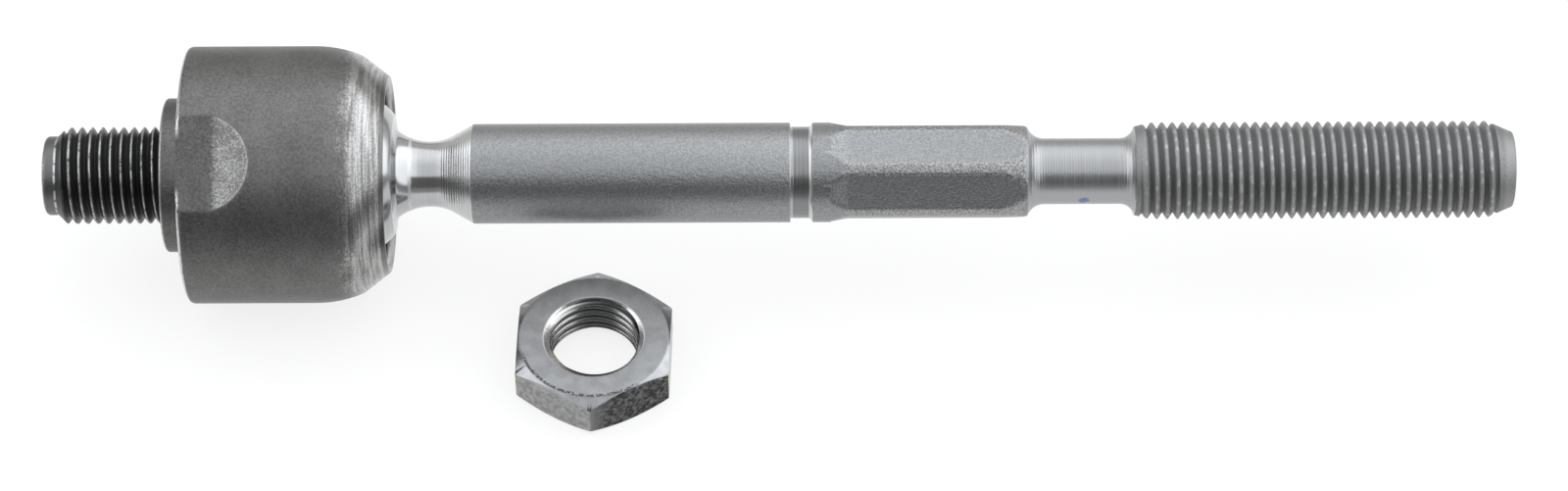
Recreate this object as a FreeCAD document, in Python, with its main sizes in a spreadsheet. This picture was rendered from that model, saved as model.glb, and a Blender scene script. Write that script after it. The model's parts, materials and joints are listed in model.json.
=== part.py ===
"""Inner tie rod: a threaded ball socket, its plastic seat, the rod with its ball, and the lock nut.

The frame's origin is on the socket's axis, in the face of the collar that meets the steering rack.
+X runs along the rod to its outer end and +Z is up. Lengths are in millimetres, angles in degrees.
"""
import FreeCAD, Part
import math
import os
import Sketcher

# Driving dimensions, each with its name on the sheet
SIZES = {
    # Both threads, and the nut's, are metric fine
    "thread_dia": 14.0,
    "thread_pitch": 1.5,
    # Stud that screws into the rack
    "stud_length": 17.4,
    "dog_dia": 11.4,
    "dog_length": 1.85,
    "dog_chamfer": 0.7,
    "stud_lead": 1.3,
    # Collar that seats on the rack
    "collar_dia": 22.2,
    "collar_length": 3.2,
    "collar_round": 0.5,
    # Socket
    "base_wall": 4.0,
    "barrel_wall": 3.15,
    "rear_round": 1.0,
    "crown_start": 1.0,
    "band_length": 3.8,
    "band_angle": 37.7,
    "lip_land": 0.35,
    "flare_depth": 1.05,
    "flare_angle": 46.0,
    "throat_angle": 56.0,
    # Two opposite spanner flats on the socket
    "spanner_depth": 1.31,
    "spanner_length": 5.2,
    "spanner_entry": 6.3,
    "spanner_runout": 21.1,
    "spanner_turn": 34.3,
    # Plastic seat
    "ball_gap": 0.05,
    "seat_wall": 1.85,
    "seat_mouth": 59.0,
    "seat_hole_dia": 9.0,
    "slit_width": 1.2,
    "slit_back": 4.0,
    "slit_count": 6,
    # Ball and the neck behind it
    "ball_dia": 27.0,
    "ball_flat_dia": 7.0,
    "root_dia": 17.2,
    "root_length": 0.44,
    "root_round": 6.0,
    "neck_top_dia": 12.6,
    "neck_taper": 4.55,
    "neck_dia": 9.44,
    "neck_land": 0.3,
    "neck_flare": 3.0,
    "flare_dia": 10.9,
    "shoulder_length": 3.1,
    # Shank and groove
    "shank_dia": 14.4,
    "shank_length": 45.67,
    "groove_dia": 13.2,
    "groove_length": 2.4,
    "groove_ramp": 0.8,
    "ring_length": 2.6,
    # Hexagon for turning the rod
    "hex_across": 13.0,
    "hex_corner_dia": 14.3,
    "hex_step": 0.15,
    "hex_runout": 2.4,
    "hex_length": 22.1,
    "hex_taper": 3.4,
    "hex_end_dia": 13.3,
    "hex_chamfer": 0.5,
    "hex_face_dia": 12.8,
    "hex_turn": 6.0,
    # Undercut between the hexagon and the thread
    "undercut_dia": 9.5,
    "undercut_entry": 2.4,
    "undercut_length": 10.9,
    "undercut_exit": 2.1,
    # Outer thread
    "thread_start_dia": 12.8,
    "thread_lead": 2.3,
    "thread_length": 48.6,
    "thread_taper": 3.3,
    "thread_end_dia": 11.1,
    "end_round": 0.4,
    # Lock nut, lying beside the rod on the level that the socket rests on
    "nut_across": 22.0,
    "nut_height": 7.0,
    "nut_face_share": 0.97,
    "nut_chamfer_angle": 30.0,
    "nut_sink": 0.68,
    "nut_turn": 1.8,
    "nut_x": 61.7,
    "nut_y": -20.9,
}

doc = FreeCAD.newDocument("inner_tie_rod")
dims = doc.addObject("Spreadsheet::Sheet", "dims")
for row, (name, number) in enumerate(SIZES.items(), start=1):
    dims.set(f"A{row}", name)
    dims.set(f"B{row}", str(number))
    dims.setAlias(f"B{row}", name)
doc.recompute()

# Sizes that follow from the driving ones
ball_r = "dims.ball_dia / 2"
seat_r = f"({ball_r} + dims.ball_gap)"
cavity_r = f"({seat_r} + dims.seat_wall)"
socket_r = f"({cavity_r} + dims.barrel_wall)"
ball_x = f"(dims.collar_length + dims.base_wall + {cavity_r})"
thread_r = "dims.thread_dia / 2"
nut_bore_r = f"({thread_r} - 5 / 16 * sqrt(3) * dims.thread_pitch)"


def value(expression):
    """The number that an expression on the sheet gives."""
    return float(dims.evalExpression(expression))


class Outline:
    """A closed outline in a sketch on one of a body's planes, drawn corner by corner.

    A corner's first coordinate is an expression, or "+" and the step from the corner before.
    Its second is an expression, or "=" for the one before.
    """

    def __init__(self, body, name, plane, first, second, turn=None):
        self.sketch = body.newObject("Sketcher::SketchObject", name)
        origin_plane = [p for p in body.Origin.OriginFeatures if p.Role == plane][0]
        self.sketch.AttachmentSupport = [(origin_plane, "")]
        self.sketch.MapMode = "FlatFace"
        if turn:
            turned_by = FreeCAD.Rotation(FreeCAD.Vector(1, 0, 0), value(turn))
            self.sketch.AttachmentOffset = FreeCAD.Placement(FreeCAD.Vector(), turned_by)
            self.sketch.setExpression("AttachmentOffset.Rotation.Angle", turn)
        self.corners = [(first, second)]
        self.spots = [FreeCAD.Vector(value(first), value(second))]
        self.pieces = []

    def corner(self, first, second, piece):
        """Note the next corner and the piece of outline that leads to it."""
        last = self.spots[-1]
        along = last.x + value(first[1:]) if first.startswith("+") else value(first)
        across = last.y if second == "=" else value(second)
        self.corners.append((first, second))
        self.spots.append(FreeCAD.Vector(along, across))
        self.pieces.append(piece)

    def line(self, first, second):
        """A straight piece."""
        self.corner(first, second, ("line", None))

    def arc(self, first, second, radius, side):
        """A round piece whose centre is on the left or right of the way it goes."""
        self.corner(first, second, (side, radius))

    def blend(self, first, second, tangent_to):
        """A round piece that runs smoothly into the straight one before or after it."""
        self.corner(first, second, (tangent_to, None))

    def arc_centre(self, number):
        """Signed radius and centre of a round piece; a positive radius has its centre on the left."""
        kind, radius = self.pieces[number]
        start, end = self.spots[number], self.spots[number + 1]
        chord = end - start
        if kind in ("left", "right"):
            signed = value(radius) * (1 if kind == "left" else -1)
            left = FreeCAD.Vector(-chord.y, chord.x).normalize()
            rise = math.sqrt(max(signed**2 - chord.Length**2 / 4, 0))
            return signed, start + chord / 2 + left * math.copysign(rise, signed)
        if kind == "before":
            way = start - self.spots[number - 1]
            base, reach = start, chord
        else:
            way = self.spots[number + 2] - end
            base, reach = end, -chord
        left = FreeCAD.Vector(-way.y, way.x).normalize()
        signed = reach.Length**2 / (2 * reach.dot(left))
        return signed, base + left * signed

    def close(self):
        """Draw the outline, tie its corners to the sheet and give back the sketch."""
        sketch = self.sketch
        self.pieces.append(("line", None))
        self.spots.append(self.spots[0])
        ends = []
        for number, (kind, radius) in enumerate(self.pieces):
            start, end = self.spots[number], self.spots[number + 1]
            if kind == "line":
                sketch.addGeometry(Part.LineSegment(start, end))
                ends.append((1, 2))
                continue
            signed, centre = self.arc_centre(number)
            from_start = math.atan2(start.y - centre.y, start.x - centre.x)
            from_end = math.atan2(end.y - centre.y, end.x - centre.x)
            circle = Part.Circle(centre, FreeCAD.Vector(0, 0, 1), abs(signed))
            if signed > 0:
                sketch.addGeometry(Part.ArcOfCircle(circle, from_start, from_end))
                ends.append((1, 2))
            else:
                sketch.addGeometry(Part.ArcOfCircle(circle, from_end, from_start))
                ends.append((2, 1))
        self.join(ends)
        self.tie(ends)
        return sketch

    def join(self, ends):
        """Join each piece to the next, smoothly where it blends."""
        for number, (kind, radius) in enumerate(self.pieces):
            after = (number + 1) % len(self.pieces)
            smooth = kind == "after" or self.pieces[after][0] == "before"
            how = "Tangent" if smooth else "Coincident"
            here, there = ends[number][1], ends[after][0]
            self.sketch.addConstraint(Sketcher.Constraint(how, number, here, after, there))
            if kind in ("left", "right"):
                self.bind(Sketcher.Constraint("Radius", number, value(radius)), radius)

    def tie(self, ends):
        """Tie each corner's two coordinates."""
        for number, (first, second) in enumerate(self.corners):
            piece, point = number, ends[number][0]
            if number and first == "+0":
                self.sketch.addConstraint(Sketcher.Constraint("Vertical", number - 1))
            elif first.startswith("+"):
                back = ends[number - 1][0]
                self.distance("DistanceX", number - 1, back, piece, point, first[1:])
            else:
                self.distance("DistanceX", -1, 1, piece, point, first)
            if second == "=":
                self.sketch.addConstraint(Sketcher.Constraint("Horizontal", number - 1))
            else:
                self.distance("DistanceY", -1, 1, piece, point, second)

    def distance(self, kind, from_piece, from_point, piece, point, expression):
        """Hold one coordinate of a corner by an expression."""
        number = value(expression)
        if abs(number) < 1e-9:
            axis = -2 if kind == "DistanceX" else -1
            self.sketch.addConstraint(Sketcher.Constraint("PointOnObject", piece, point, axis))
        elif number > 0:
            held = Sketcher.Constraint(kind, from_piece, from_point, piece, point, number)
            self.bind(held, expression)
        else:
            held = Sketcher.Constraint(kind, piece, point, from_piece, from_point, -number)
            self.bind(held, f"-({expression})")

    def bind(self, constraint, expression):
        """Add a constraint whose size the sheet sets."""
        number = self.sketch.addConstraint(constraint)
        self.sketch.setExpression(f"Constraints[{number}]", expression)


def new_body(label):
    """A sub-part of its own."""
    body = doc.addObject("PartDesign::Body", label)
    body.Label = label
    return body


def revolve(body, kind, name, sketch, axis="H_Axis"):
    """Turn a sketch round one of its axes, to add to or cut from the body."""
    feature = body.newObject(f"PartDesign::{kind}", name)
    feature.Profile = sketch
    feature.ReferenceAxis = (sketch, [axis])
    feature.Angle = 360
    sketch.Visibility = False
    return feature


def pocket(body, name, sketch, symmetric):
    """Cut a sketch through the whole body, on one side of its plane or both."""
    feature = body.newObject("PartDesign::Pocket", name)
    feature.Profile = sketch
    feature.Type = "ThroughAll"
    feature.SideType = "Symmetric" if symmetric else "One side"
    sketch.Visibility = False
    return feature


def repeat_round(body, name, feature, sketch, count):
    """Repeat a cut round the body's axis."""
    pattern = body.newObject("PartDesign::PolarPattern", name)
    pattern.Originals = [feature]
    pattern.Axis = (sketch, ["H_Axis"])
    pattern.Angle = 360
    pattern.Occurrences = int(value(count))
    pattern.setExpression("Occurrences", count)
    body.Tip = pattern
    return pattern


def make_housing():
    """Stud, collar and socket forged in one, with the cavity open at the rolled lip."""
    body = new_body("housing")
    throat_x = f"({ball_x} + {cavity_r} * cos(dims.throat_angle))"
    throat_r = f"({cavity_r} * sin(dims.throat_angle))"
    rim_r = f"({throat_r} + dims.flare_depth * tan(dims.flare_angle))"
    lip_x = f"({throat_x} + dims.flare_depth)"
    lip_r = f"({rim_r} + dims.lip_land)"
    band_r = f"({lip_r} + dims.band_length * tan(dims.band_angle))"

    shape = Outline(body, "housing_outline", "XZ_Plane", "-dims.stud_length", "0")
    shape.line("+0", "dims.dog_dia / 2 - dims.dog_chamfer")
    shape.line("+dims.dog_chamfer", "dims.dog_dia / 2")
    shape.line("+dims.dog_length - dims.dog_chamfer", "=")
    shape.line("+dims.stud_lead", thread_r)
    shape.line("0", "=")
    shape.line("+0", "dims.collar_dia / 2 - dims.collar_round")
    shape.arc("+dims.collar_round", "dims.collar_dia / 2", "dims.collar_round", "right")
    shape.line("dims.collar_length", "=")
    shape.line("+0", f"{socket_r} - dims.rear_round")
    shape.arc("+dims.rear_round", socket_r, "dims.rear_round", "right")
    shape.line(f"{ball_x} - dims.crown_start", "=")
    shape.blend(f"{lip_x} - dims.band_length", band_r, "before")
    shape.line(lip_x, lip_r)
    shape.line("+0", rim_r)
    shape.line(throat_x, throat_r)
    shape.arc(f"{ball_x} - {cavity_r}", "0", cavity_r, "left")
    revolve(body, "Revolution", "socket", shape.close())

    # Each flat starts at the rear face and ends at a crease, where a hollow ramp leads out of it
    over = "dims.spanner_depth"
    below_centre = f"(dims.spanner_runout * cos(dims.spanner_entry) - dims.spanner_depth - {over})"
    beside_centre = "dims.spanner_runout * sin(dims.spanner_entry)"
    reach = f"sqrt(dims.spanner_runout^2 - {below_centre}^2) - {beside_centre}"
    flat = Outline(
        body,
        "spanner_outline",
        "XZ_Plane",
        f"dims.collar_length - {over}",
        f"{socket_r} - dims.spanner_depth",
        turn="dims.spanner_turn",
    )
    flat.line("dims.collar_length + dims.spanner_length", "=")
    flat.arc(f"+{reach}", f"{socket_r} + {over}", "dims.spanner_runout", "left")
    flat.line(f"dims.collar_length - {over}", "=")
    sketch = flat.close()
    cut = pocket(body, "spanner_flat", sketch, True)
    repeat_round(body, "spanner_flats", cut, sketch, "2")
    return body


def make_ball_seat():
    """Plastic shell round the ball, slit from its mouth so that the ball snaps in."""
    body = new_body("ball_seat")
    hole_r = "dims.seat_hole_dia / 2"
    shape = Outline(
        body,
        "seat_outline",
        "XZ_Plane",
        f"{seat_r} * cos(dims.seat_mouth)",
        f"{seat_r} * sin(dims.seat_mouth)",
    )
    shape.arc(f"-sqrt({seat_r}^2 - ({hole_r})^2)", hole_r, seat_r, "left")
    shape.line(f"-sqrt({cavity_r}^2 - ({hole_r})^2)", "=")
    shape.arc(
        f"{cavity_r} * cos(dims.seat_mouth)",
        f"{cavity_r} * sin(dims.seat_mouth)",
        cavity_r,
        "right",
    )
    revolve(body, "Revolution", "shell", shape.close())

    slit = Outline(body, "slit_outline", "XY_Plane", "-dims.slit_back", "-dims.slit_width / 2")
    slit.line(cavity_r, "=")
    slit.line("+0", "dims.slit_width / 2")
    slit.line("-dims.slit_back", "=")
    sketch = slit.close()
    cut = pocket(body, "slit", sketch, False)
    repeat_round(body, "slits", cut, sketch, "dims.slit_count")
    body.setExpression("Placement.Base.x", ball_x)
    return body


def make_tie_rod():
    """Ball, necks, shank, groove, hexagon and thread, in one bar; its own origin is the ball's centre."""
    body = new_body("tie_rod")
    flat_r = "dims.ball_flat_dia / 2"
    root_x = f"sqrt(({ball_r})^2 - (dims.root_dia / 2)^2)"

    shape = Outline(body, "rod_outline", "XZ_Plane", f"-sqrt(({ball_r})^2 - ({flat_r})^2)", "0")
    shape.line("+0", flat_r)
    shape.arc(root_x, "dims.root_dia / 2", ball_r, "right")
    shape.arc("+dims.root_length", "dims.neck_top_dia / 2", "dims.root_round", "left")
    shape.blend("+dims.neck_taper", "dims.neck_dia / 2", "after")
    shape.line("+dims.neck_land", "=")
    shape.blend("+dims.neck_flare", "dims.flare_dia / 2", "before")
    shape.line("+dims.shoulder_length", "dims.shank_dia / 2")
    shape.line("+dims.shank_length", "=")
    shape.line("+0", "dims.groove_dia / 2")
    shape.line("+dims.groove_length", "=")
    shape.line("+dims.groove_ramp", "dims.shank_dia / 2")
    shape.line("+dims.ring_length", "=")
    shape.line("+dims.hex_runout", "dims.hex_corner_dia / 2")
    shape.line("+dims.hex_length", "=")
    shape.line("+dims.hex_taper", "dims.hex_end_dia / 2")
    shape.line("+dims.hex_chamfer", "dims.hex_face_dia / 2")
    shape.blend("+dims.undercut_entry", "dims.undercut_dia / 2", "after")
    shape.line("+dims.undercut_length", "=")
    shape.blend("+dims.undercut_exit", "dims.thread_start_dia / 2", "before")
    shape.line("+dims.thread_lead", thread_r)
    shape.line("+dims.thread_length", "=")
    shape.line("+dims.thread_taper", "dims.thread_end_dia / 2")
    end_r = "dims.thread_end_dia / 2 - dims.end_round"
    shape.arc("+dims.end_round", end_r, "dims.end_round", "right")
    shape.line("+0", "0")
    revolve(body, "Revolution", "bar", shape.close())

    # The flats step and ramp down from the ring beside the groove and run out over the undercut
    before_hex = [
        "dims.root_length",
        "dims.neck_taper",
        "dims.neck_land",
        "dims.neck_flare",
        "dims.shoulder_length",
        "dims.shank_length",
        "dims.groove_length",
        "dims.groove_ramp",
        "dims.ring_length",
    ]
    hex_x = " + ".join([root_x] + before_hex)
    flat_run = "dims.hex_length + dims.hex_taper + dims.hex_chamfer + dims.undercut_entry"
    step_r = "dims.shank_dia / 2 - dims.hex_step"
    flat = Outline(body, "hex_outline", "XZ_Plane", hex_x, step_r, turn="dims.hex_turn")
    flat.line("+dims.hex_runout", "dims.hex_across / 2")
    flat.line(f"+{flat_run}", "=")
    flat.line("+0", "dims.hex_corner_dia")
    flat.line(hex_x, "=")
    sketch = flat.close()
    cut = pocket(body, "hex_flat", sketch, True)
    repeat_round(body, "hex_flats", cut, sketch, "6")
    body.setExpression("Placement.Base.x", ball_x)
    return body


def make_lock_nut():
    """Thin hexagon nut, chamfered on both faces; its own origin is its middle."""
    body = new_body("lock_nut")
    half = "dims.nut_across / 2"
    corner = f"({half} / cos(30))"
    half_corner = f"({half} * tan(30))"
    face_r = f"({half} * dims.nut_face_share)"

    hexagon = Outline(body, "nut_outline", "XY_Plane", "0", f"-{corner}")
    hexagon.line(half, f"-{half_corner}")
    hexagon.line("+0", half_corner)
    hexagon.line("0", corner)
    hexagon.line(f"-{half}", half_corner)
    hexagon.line("+0", f"-{half_corner}")
    blank = body.newObject("PartDesign::Pad", "blank")
    blank.Profile = hexagon.close()
    blank.SideType = "Symmetric"
    blank.Length = value("dims.nut_height")
    blank.setExpression("Length", "dims.nut_height")

    # Outer chamfer of the upper face, then its mirror image below
    drop = f"(({corner} - {face_r}) * tan(dims.nut_chamfer_angle))"
    edge = Outline(body, "chamfer_outline", "XZ_Plane", face_r, "dims.nut_height / 2")
    edge.line(corner, f"dims.nut_height / 2 - {drop}")
    edge.line("+0", "dims.nut_height / 2")
    chamfer = revolve(body, "Groove", "chamfer", edge.close(), "V_Axis")
    mirrored = body.newObject("PartDesign::Mirrored", "chamfers")
    mirrored.Originals = [chamfer]
    middle = [p for p in body.Origin.OriginFeatures if p.Role == "XY_Plane"][0]
    mirrored.MirrorPlane = (middle, [""])
    body.Tip = mirrored

    # Thread bore, countersunk at both ends
    sink_r = f"{thread_r} + dims.nut_sink / 2"
    sink_z = "(dims.nut_height / 2 - dims.nut_sink)"
    bore = Outline(body, "bore_outline", "XZ_Plane", "0", "-dims.nut_height / 2")
    bore.line(sink_r, "=")
    bore.line(nut_bore_r, f"-{sink_z}")
    bore.line("+0", sink_z)
    bore.line(sink_r, "dims.nut_height / 2")
    bore.line("0", "=")
    revolve(body, "Groove", "bore", bore.close(), "V_Axis")

    downward = FreeCAD.Vector(0, 0, -1)
    body.Placement.Rotation = FreeCAD.Rotation(downward, value("dims.nut_turn"))
    body.setExpression("Placement.Rotation.Angle", "dims.nut_turn")
    body.setExpression("Placement.Base.x", "dims.nut_x")
    body.setExpression("Placement.Base.y", "dims.nut_y")
    body.setExpression("Placement.Base.z", f"dims.nut_height / 2 - {socket_r}")
    return body


bodies = [make_housing(), make_ball_seat(), make_tie_rod(), make_lock_nut()]
doc.recompute()

for item in doc.Objects:
    if "Invalid" in item.State or "Error" in item.State:
        raise RuntimeError(f"{item.Name} failed: {item.State}")
for body in bodies:
    if body.Shape.isNull() or not body.Shape.isValid() or len(body.Shape.Solids) != 1:
        raise RuntimeError(f"{body.Label} is not one valid solid")

os.makedirs("parts", exist_ok=True)
for body in bodies:
    body.Shape.exportStep(f"parts/{body.Label}.step")
    box = body.Shape.BoundBox
    print(
        f"{body.Label}: {body.Shape.Volume:.1f} mm3, "
        f"X {box.XMin:.2f} to {box.XMax:.2f}, "
        f"Y {box.YMin:.2f} to {box.YMax:.2f}, "
        f"Z {box.ZMin:.2f} to {box.ZMax:.2f}"
    )
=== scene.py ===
import json
import math

import bpy
from mathutils import Matrix, Vector


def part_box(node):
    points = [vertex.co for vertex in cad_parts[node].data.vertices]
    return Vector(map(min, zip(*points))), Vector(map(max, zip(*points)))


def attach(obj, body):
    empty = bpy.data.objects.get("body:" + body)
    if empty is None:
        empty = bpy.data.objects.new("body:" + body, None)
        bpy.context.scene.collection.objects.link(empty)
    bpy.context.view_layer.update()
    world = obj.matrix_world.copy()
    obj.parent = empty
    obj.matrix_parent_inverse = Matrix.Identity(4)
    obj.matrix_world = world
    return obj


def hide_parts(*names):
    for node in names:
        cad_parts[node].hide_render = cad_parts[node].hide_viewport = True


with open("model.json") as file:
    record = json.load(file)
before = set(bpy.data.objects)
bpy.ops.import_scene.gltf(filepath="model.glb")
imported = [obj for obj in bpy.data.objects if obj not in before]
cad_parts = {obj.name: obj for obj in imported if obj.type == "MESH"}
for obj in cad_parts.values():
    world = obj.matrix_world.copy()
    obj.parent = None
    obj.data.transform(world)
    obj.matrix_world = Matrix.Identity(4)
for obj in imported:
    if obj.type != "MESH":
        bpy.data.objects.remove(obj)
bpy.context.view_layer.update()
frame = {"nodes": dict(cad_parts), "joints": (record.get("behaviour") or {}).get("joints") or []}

MM = 0.001

# Places and sizes read from the frame, in mm
BALL_X = frame["joints"][0]["pos_m"][0] / MM
STUD_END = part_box("housing")[0][0] / MM
LIP_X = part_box("housing")[1][0] / MM
SOCKET_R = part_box("housing")[1][2] / MM
BALL_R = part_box("tie_rod")[1][2] / MM
ROD_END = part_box("tie_rod")[1][0] / MM
NUT_LOW, NUT_HIGH = [Vector(corner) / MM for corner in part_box("lock_nut")]
FLOOR_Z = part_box("housing")[0][2] / MM

# Both threads are metric fine, with the roots of a rolled thread
PITCH = 1.5
CREST_R = 7.0
ROOT_R = CREST_R - 0.6134 * PITCH
BORE_R = CREST_R - 5 / 16 * math.sqrt(3) * PITCH

# Stud with its dog point, collar, socket and rolled lip
DOG_LENGTH = 1.85
COLLAR_R = 11.1
REAR_X = 3.2
BAND_LENGTH = 3.8
BAND_ANGLE = math.radians(37.7)
BAND_X = LIP_X - BAND_LENGTH
LIP_R = 14.2

# Spanner flats: each runs level up to a crease, then up a hollow ramp
SPANNER_X = REAR_X + 5.2
SPANNER_RAMP = 5.6
SPANNER_TURN = math.radians(34.3)

# Rod, from the neck outwards
WITNESS_X = 35.35
NECK_R = 4.72
SHANK_X = 44.4
SHANK_R = 7.2
GROOVE_X = 90.07
HEX_X = 95.87
HEX_ACROSS = 13.0
HEX_TURN = math.radians(6)
HEX_END_X = 124.27
HEX_CORNER_R = 7.15
HEX_TAPER = 3.9
HEX_FALL = 0.5 / 3.4
UNDERCUT_R = 4.75
THREAD_X = 139.67

# Lock nut, with the direction that its stained side faces
NUT_TURN = math.radians(-1.8)
NUT_ACROSS = 22.0
NUT_FACE_SHARE = 0.97
STAINED_SIDE = math.radians(30)

# How finely the pieces are divided round their axes and along a turn of thread, and how far its
# rows crowd together at the crest and the root
ROD_SEGMENTS = 180
SOCKET_SEGMENTS = 400
NUT_SEGMENTS = 360
TURN_ROWS = 8
CROWDING = 0.056
SHARP_ANGLE = math.radians(46)
MERGE_REACH = 0.002

# The thread's depth at shares of a turn, from the middle of its crest to that of its root
THREAD_HALF = [(0.069, 0.03), (0.25, 0.45), (0.431, 0.95)]

# What an outline says where no flat cuts it, and where the thread's own surface fills it
NO_FLAT = 1000.0
THREAD_STRETCH = -1


# Numbers in node trees

class Number:
    """A number in a node tree; arithmetic on it adds Math nodes."""

    def __init__(self, tree, socket):
        self.tree = tree
        self.socket = socket

    def do(self, operation, *others):
        node = self.tree.nodes.new("ShaderNodeMath")
        node.operation = operation
        for slot, item in zip(node.inputs, (self, *others)):
            feed(self.tree, slot, item)
        return Number(self.tree, node.outputs[0])

    def __add__(self, other):
        return self.do("ADD", other)

    def __sub__(self, other):
        return self.do("SUBTRACT", other)

    def __mul__(self, other):
        return self.do("MULTIPLY", other)

    def __truediv__(self, other):
        return self.do("DIVIDE", other)

    def low(self, other):
        return self.do("MINIMUM", other)

    def high(self, other):
        return self.do("MAXIMUM", other)

    def across(self, other):
        """The length of the vector whose two parts are this and another."""
        return (self * self + other * other).do("SQRT")


def feed(tree, slot, item):
    """Link a socket to an input, or set the input's own value."""
    if isinstance(item, Number):
        item = item.socket
    if isinstance(item, bpy.types.NodeSocket):
        tree.links.new(item, slot)
    else:
        slot.default_value = item


def add(tree, kind, inputs=None, out=0, **settings):
    """Add a node, fill its inputs and give back one of its outputs."""
    node = tree.nodes.new(kind)
    for name, setting in settings.items():
        setattr(node, name, setting)
    for name, item in (inputs or {}).items():
        feed(tree, node.inputs[name], item)
    return node.outputs[out]


def number(tree, kind, inputs=None, out=0, **settings):
    """Add a node whose output is used as a number."""
    return Number(tree, add(tree, kind, inputs, out, **settings))


def parts_of(tree, vector):
    """The three parts of a vector, as numbers."""
    node = tree.nodes.new("ShaderNodeSeparateXYZ")
    feed(tree, node.inputs[0], vector)
    return [Number(tree, socket) for socket in node.outputs]


def vector_of(tree, x, y, z):
    """A vector from its three parts."""
    return add(tree, "ShaderNodeCombineXYZ", {"X": x, "Y": y, "Z": z})


def ramp(tree, item, start, end, low=0.0, high=1.0, kind="SMOOTHSTEP"):
    """Map a number from one range to another, held at both ends."""
    inputs = {"Value": item, "From Min": start, "From Max": end, "To Min": low, "To Max": high}
    return number(tree, "ShaderNodeMapRange", inputs, interpolation_type=kind, clamp=True)


# Outlines of turned pieces

class Profile:
    """Rows of (along, radius) in mm, each with the finish of the stretch that starts there.

    A row's slide says how far it moves along for each mm by which a flat cuts its radius,
    which keeps the lower edge of a chamfer on its cone.
    """

    def __init__(self, along, radius, finish):
        self.rows = [(along, radius, 0.0)]
        self.finishes = [finish]
        self.finish = finish

    def put(self, along, radius, slide=0.0):
        """One more row."""
        self.finishes[-1] = self.finish
        self.rows.append((along, radius, slide))
        self.finishes.append(self.finish)

    def to(self, along, radius, step=None, slide=0.0):
        """A straight run, divided where flats cut it."""
        last_along, last_radius, _ = self.rows[-1]
        length = math.dist((last_along, last_radius), (along, radius))
        count = max(1, round(length / step)) if step else 1
        for part in range(1, count + 1):
            share = part / count
            self.put(
                last_along + (along - last_along) * share,
                last_radius + (radius - last_radius) * share,
                slide,
            )

    def arc(self, along, radius, centre, steps):
        """A round run about a centre, by the shorter way."""
        last_along, last_radius, _ = self.rows[-1]
        start = math.atan2(last_radius - centre[1], last_along - centre[0])
        turn = math.atan2(radius - centre[1], along - centre[0]) - start
        turn = (turn + math.pi) % (2 * math.pi) - math.pi
        size = math.dist((last_along, last_radius), centre)
        for part in range(1, steps):
            angle = start + turn * part / steps
            self.put(centre[0] + size * math.cos(angle), centre[1] + size * math.sin(angle))
        self.put(along, radius)

    def blend(self, along, radius, way, at_start, steps=8):
        """A round run that goes the given way where it starts, or where it ends."""
        here = Vector(self.rows[-1][:2])
        there = Vector((along, radius))
        base, reach = (here, there - here) if at_start else (there, here - there)
        left = Vector((-way[1], way[0])).normalized()
        centre = base + left * reach.length_squared / (2 * reach.dot(left))
        self.arc(along, radius, tuple(centre), steps)

    def soften(self, size, least_turn=math.radians(18)):
        """Round each sharp corner by a small bevel of three rows, as a real edge is."""
        rows, finishes = [self.rows[0]], [self.finishes[0]]
        for index in range(1, len(self.rows) - 1):
            before, here, after = (Vector(self.rows[index + k][:2]) for k in (-1, 0, 1))
            first, second = before - here, after - here
            spots = [here]
            beside_thread = THREAD_STRETCH in (self.finishes[index - 1], self.finishes[index])
            if second.angle(-first) > least_turn and not beside_thread:
                reach = min(size, first.length / 3, second.length / 3)
                start, end = here + first.normalized() * reach, here + second.normalized() * reach
                spots = [start, start * 0.25 + here * 0.5 + end * 0.25, end]
            for spot in spots:
                rows.append((*spot, self.rows[index][2]))
                finishes.append(self.finishes[index])
        self.rows = rows + [self.rows[-1]]
        self.finishes = finishes + [self.finishes[-1]]

    def source(self, name, flats):
        """A mesh of the rows, which carries as attributes what each row says."""
        mesh = bpy.data.meshes.new(name)
        mesh.from_pydata([(along * MM, radius * MM, 0) for along, radius, _ in self.rows], [], [])
        for label, kind, values in (
            ("flat_distance", "FLOAT", [flats(along) * MM for along, _, _ in self.rows]),
            ("slide", "FLOAT", [slide for _, _, slide in self.rows]),
            ("finish", "INT", self.finishes),
        ):
            mesh.attributes.new(label, kind, "POINT").data.foreach_set("value", values)
        piece = bpy.data.objects.new(name, mesh)
        bpy.context.scene.collection.objects.link(piece)
        return piece


# Geometry Nodes: one tree turns an outline, cuts its flats and adds its thread

LENGTHS = ("Thread start", "Thread end", "Start radius", "End radius", "Crest radius", "Root radius")
LENGTHS += ("Pitch", "Start fade", "End fade")
SHARES = ("Phase", "Start slope", "End slope", "Flat turn")
FINISHES = 5


def grid(tree, columns, rows):
    """A unit grid, with the shares of the way across it and along it."""
    inputs = {"Size X": 1.0, "Size Y": 1.0, "Vertices X": columns, "Vertices Y": rows}
    mesh = add(tree, "GeometryNodeMeshGrid", inputs)
    across, along, _ = parts_of(tree, add(tree, "GeometryNodeInputPosition"))
    return mesh, across + 0.5, along + 0.5


def place_round(tree, mesh, along, radius, angle):
    """Move a grid's points to their places round the X axis; the angle runs from +Z towards -Y."""
    spot = vector_of(tree, along, radius * angle.do("SINE") * -1.0, radius * angle.do("COSINE"))
    return add(tree, "GeometryNodeSetPosition", {"Geometry": mesh, "Position": spot})


def store(tree, geometry, label, item, kind, domain):
    """Keep a value on the geometry under a name."""
    inputs = {"Geometry": geometry, "Name": label, "Value": item}
    return add(tree, "GeometryNodeStoreNamedAttribute", inputs, data_type=kind, domain=domain)


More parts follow.
